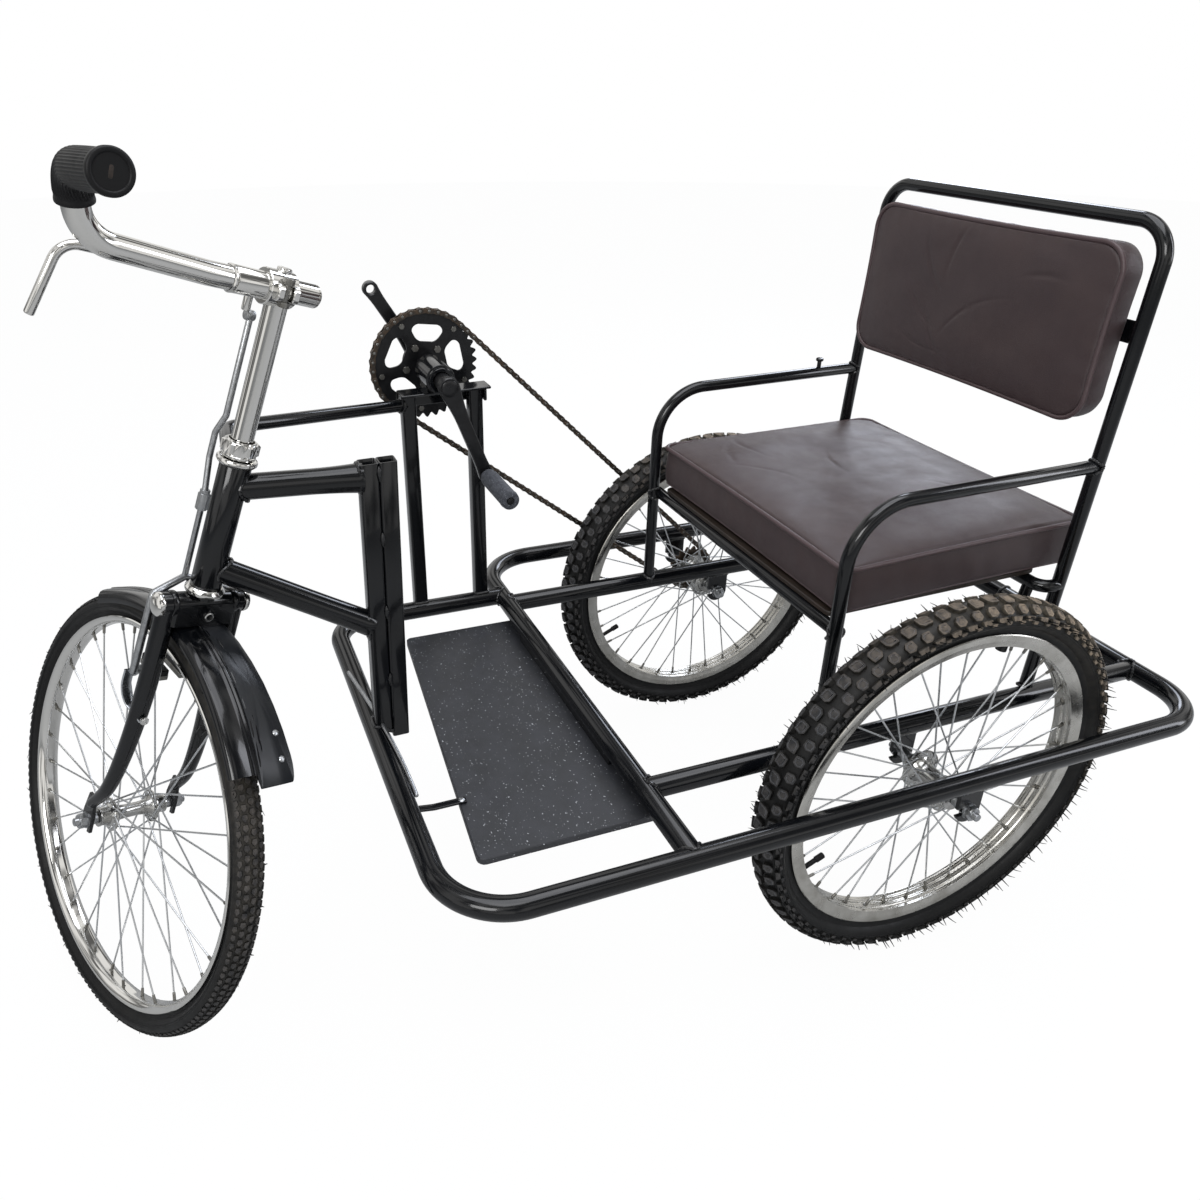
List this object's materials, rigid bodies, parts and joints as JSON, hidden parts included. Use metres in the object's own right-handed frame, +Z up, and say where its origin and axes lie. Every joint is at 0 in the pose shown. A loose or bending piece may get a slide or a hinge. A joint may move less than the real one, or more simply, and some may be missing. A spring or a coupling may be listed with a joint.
{
  "type": "adaptive tricycle",
  "caption": "Hand-driven adaptive tricycle: tube chassis, padded seat with armrests, steered front wheel with rim brake, and a side hand crank with chain drive to a rear wheel.",
  "frame": {"origin": "on the ground under the middle of the bounding box", "axes": "+Y towards the back of the tricycle, +X to the rider's left, +Z up"},
  "size_m": [0.7356, 1.4378, 0.9684],
  "materials": {
    "black_paint": "glossy black",
    "chrome": "polished",
    "zinc_steel": "zinc plated, satin",
    "alloy": "satin",
    "tyre": "matte",
    "rubber": "matte",
    "leatherette": "satin leatherette over foam",
    "black_steel": "blackened",
    "worn_steel": "dull, rusty",
    "board": "grey coated, matte",
    "plywood": "raw, matte"
  },
  "bodies": {
    "chassis": {"rail_front_left": "black_paint", "rail_right_cross": "black_paint", "rail_inner_left": "black_paint", "rail_inner_right": "black_paint", "axle_plate_left_outer": "black_paint", "axle_plate_left_inner": "black_paint", "axle_plate_right_inner": "black_paint", "axle_plate_right_outer": "black_paint", "axle_left": "zinc_steel", "axle_right": "zinc_steel", "footboard": "board", "footboard_strap": "black_paint", "footboard_packing": "black_paint", "post_front": "black_paint", "post_rear": "black_paint", "cross_tube_stay": "black_paint", "head_tube": "black_paint", "top_tube": "black_paint", "down_tube": "black_paint", "head_cup_upper": "chrome", "head_cup_lower": "chrome", "crank_post_front": "black_paint", "crank_post_rear": "black_paint", "crank_mount": "black_paint", "brace_tube": "black_paint", "backrest_frame": "black_paint", "armrest_left": "black_paint", "armrest_right": "black_paint", "seat_front_tube": "black_paint", "seat_rear_tube": "black_paint", "seat_board": "plywood", "seat_cushion": "leatherette", "backrest_cushion": "leatherette", "backrest_strap": "black_paint", "chain": "worn_steel"},
    "left_wheel": {"left_wheel_tyre": "tyre", "left_wheel_rim": "alloy", "left_wheel_hub": "chrome"},
    "right_wheel": {"right_wheel_tyre": "tyre", "right_wheel_rim": "alloy", "right_wheel_hub": "chrome", "sprocket": "worn_steel"},
    "crank": {"crank_left_arm": "black_steel", "chainwheel": "black_steel"},
    "crank_handle": {"crank_handle": "rubber"},
    "steering": {"fork": "black_paint", "head_lock_nut": "chrome", "stem": "chrome", "handlebar": "chrome", "grip": "rubber", "mudguard": "black_paint", "front_axle": "zinc_steel"},
    "front_wheel": {"front_tyre": "tyre", "front_rim": "chrome", "front_hub": "chrome"},
    "brake_lever": {"brake_lever": "chrome"},
    "brake_rod": {"brake_rod": "chrome", "brake_shoe_left": "rubber", "brake_shoe_right": "rubber"}
  },
  "joints": [
    {"name": "steering_turn", "type": "hinge", "parent": "chassis", "child": "steering", "pos_m": [0.0334, -0.39837, 0.663], "axis": [0, 0.3584, 0.9336], "range_deg": [-8, 142]},
    {"name": "front_wheel_spin", "type": "hinge", "parent": "steering", "child": "front_wheel", "pos_m": [0.00051, -0.57469, 0.24453], "axis": [0.4067, -0.8529, 0.3274], "continuous": true},
    {"name": "left_wheel_spin", "type": "hinge", "parent": "chassis", "child": "left_wheel", "pos_m": [0.2988, 0.33263, 0.249], "axis": [1, 0, 0], "continuous": true},
    {"name": "right_wheel_spin", "type": "hinge", "parent": "chassis", "child": "right_wheel", "pos_m": [-0.268, 0.33263, 0.249], "axis": [1, 0, 0], "continuous": true},
    {"name": "crank_turn", "type": "hinge", "parent": "chassis", "child": "crank", "pos_m": [0.0154, -0.11437, 0.648], "axis": [1, 0, 0], "continuous": true},
    {"name": "handle_spin", "type": "hinge", "parent": "crank", "child": "crank_handle", "pos_m": [-0.1276, -0.06744, 0.52249], "axis": [1, 0, 0], "continuous": true},
    {"name": "brake_lever_pull", "type": "hinge", "parent": "steering", "child": "brake_lever", "pos_m": [0.01056, -0.34622, 0.82722], "axis": [0.4067, -0.8529, 0.3274], "range_deg": [0, 20]},
    {"name": "brake_rod_lift", "type": "slide", "parent": "steering", "child": "brake_rod", "axis": [0, 0.3584, 0.9336], "range_m": [0, 0.005]}
  ],
  "couplings": [
    {"joint": "crank_turn", "follows": "right_wheel_spin", "ratio": 0.5},
    {"joint": "brake_rod_lift", "follows": "brake_lever_pull", "m_per_rad": 0.0143}
  ]
}
